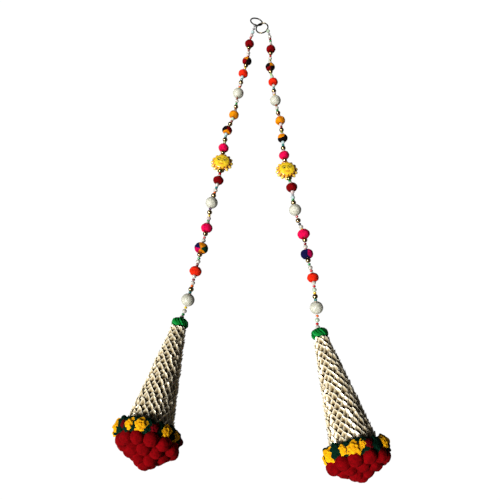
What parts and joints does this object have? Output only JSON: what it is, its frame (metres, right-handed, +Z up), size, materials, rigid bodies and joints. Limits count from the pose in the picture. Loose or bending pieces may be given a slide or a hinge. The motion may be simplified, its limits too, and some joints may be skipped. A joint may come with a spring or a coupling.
{
  "type": "bead door hanging",
  "caption": "Door hanging of linked bead strings: wool poms, painted suns, gilt, pearl and sugared beads, each ending in a gilt leaf cone with flower band and pompoms.",
  "frame": {"origin": "on the surface that the hanging lies on, under the middle of its bounding box", "axes": "+X across both strings, to the right as it is seen; +Y along the strings, from the tassels to the rings; +Z up from the surface"},
  "size_m": [0.3478, 0.856, 0.0864],
  "materials": {
    "ring_steel": "dull plated wire",
    "small_beads": "glossy; gilt, pearl and coloured beads in turn",
    "maroon_wool": "matt trimmed wool",
    "mixed_wool": "matt trimmed wool in blocks of two or three colours",
    "orange_wool": "matt trimmed wool",
    "yellow_wool": "matt trimmed wool",
    "pink_wool": "matt trimmed wool",
    "sugared_beads": "grainy, sugared",
    "sun_paint": "satin paint, yellow with dark red between the rays",
    "green_yarn": "looped yarn",
    "gilt_foil": "bright gilt, folded leaves",
    "flower_yarn": "yarn flowers, mostly yellow, some dark red, on dark green",
    "red_wool": "matt trimmed wool"
  },
  "bodies": {
    "root": {"ring_left": "ring_steel", "string_left": "small_beads", "pom_left_01": "maroon_wool", "pom_left_02": "mixed_wool", "pom_left_03": "orange_wool", "pom_left_04": "yellow_wool", "pom_left_05": "mixed_wool", "pom_left_06": "pink_wool", "pom_left_07": "maroon_wool", "pom_left_08": "pink_wool", "pom_left_09": "mixed_wool", "pom_left_10": "orange_wool", "sugar_left_01": "sugared_beads", "sugar_left_02": "sugared_beads", "sugar_left_03": "sugared_beads", "sun_left": "sun_paint", "collar_left": "green_yarn", "cone_left": "gilt_foil", "band_left": "flower_yarn", "pompoms_left": "red_wool", "ring_right": "ring_steel", "string_right": "small_beads", "pom_right_01": "maroon_wool", "pom_right_02": "mixed_wool", "pom_right_03": "orange_wool", "pom_right_04": "yellow_wool", "pom_right_05": "mixed_wool", "pom_right_06": "pink_wool", "pom_right_07": "maroon_wool", "pom_right_08": "pink_wool", "pom_right_09": "mixed_wool", "pom_right_10": "orange_wool", "sugar_right_01": "sugared_beads", "sugar_right_02": "sugared_beads", "sugar_right_03": "sugared_beads", "sun_right": "sun_paint", "collar_right": "green_yarn", "cone_right": "gilt_foil", "band_right": "flower_yarn", "pompoms_right": "red_wool"}
  },
  "joints": []
}
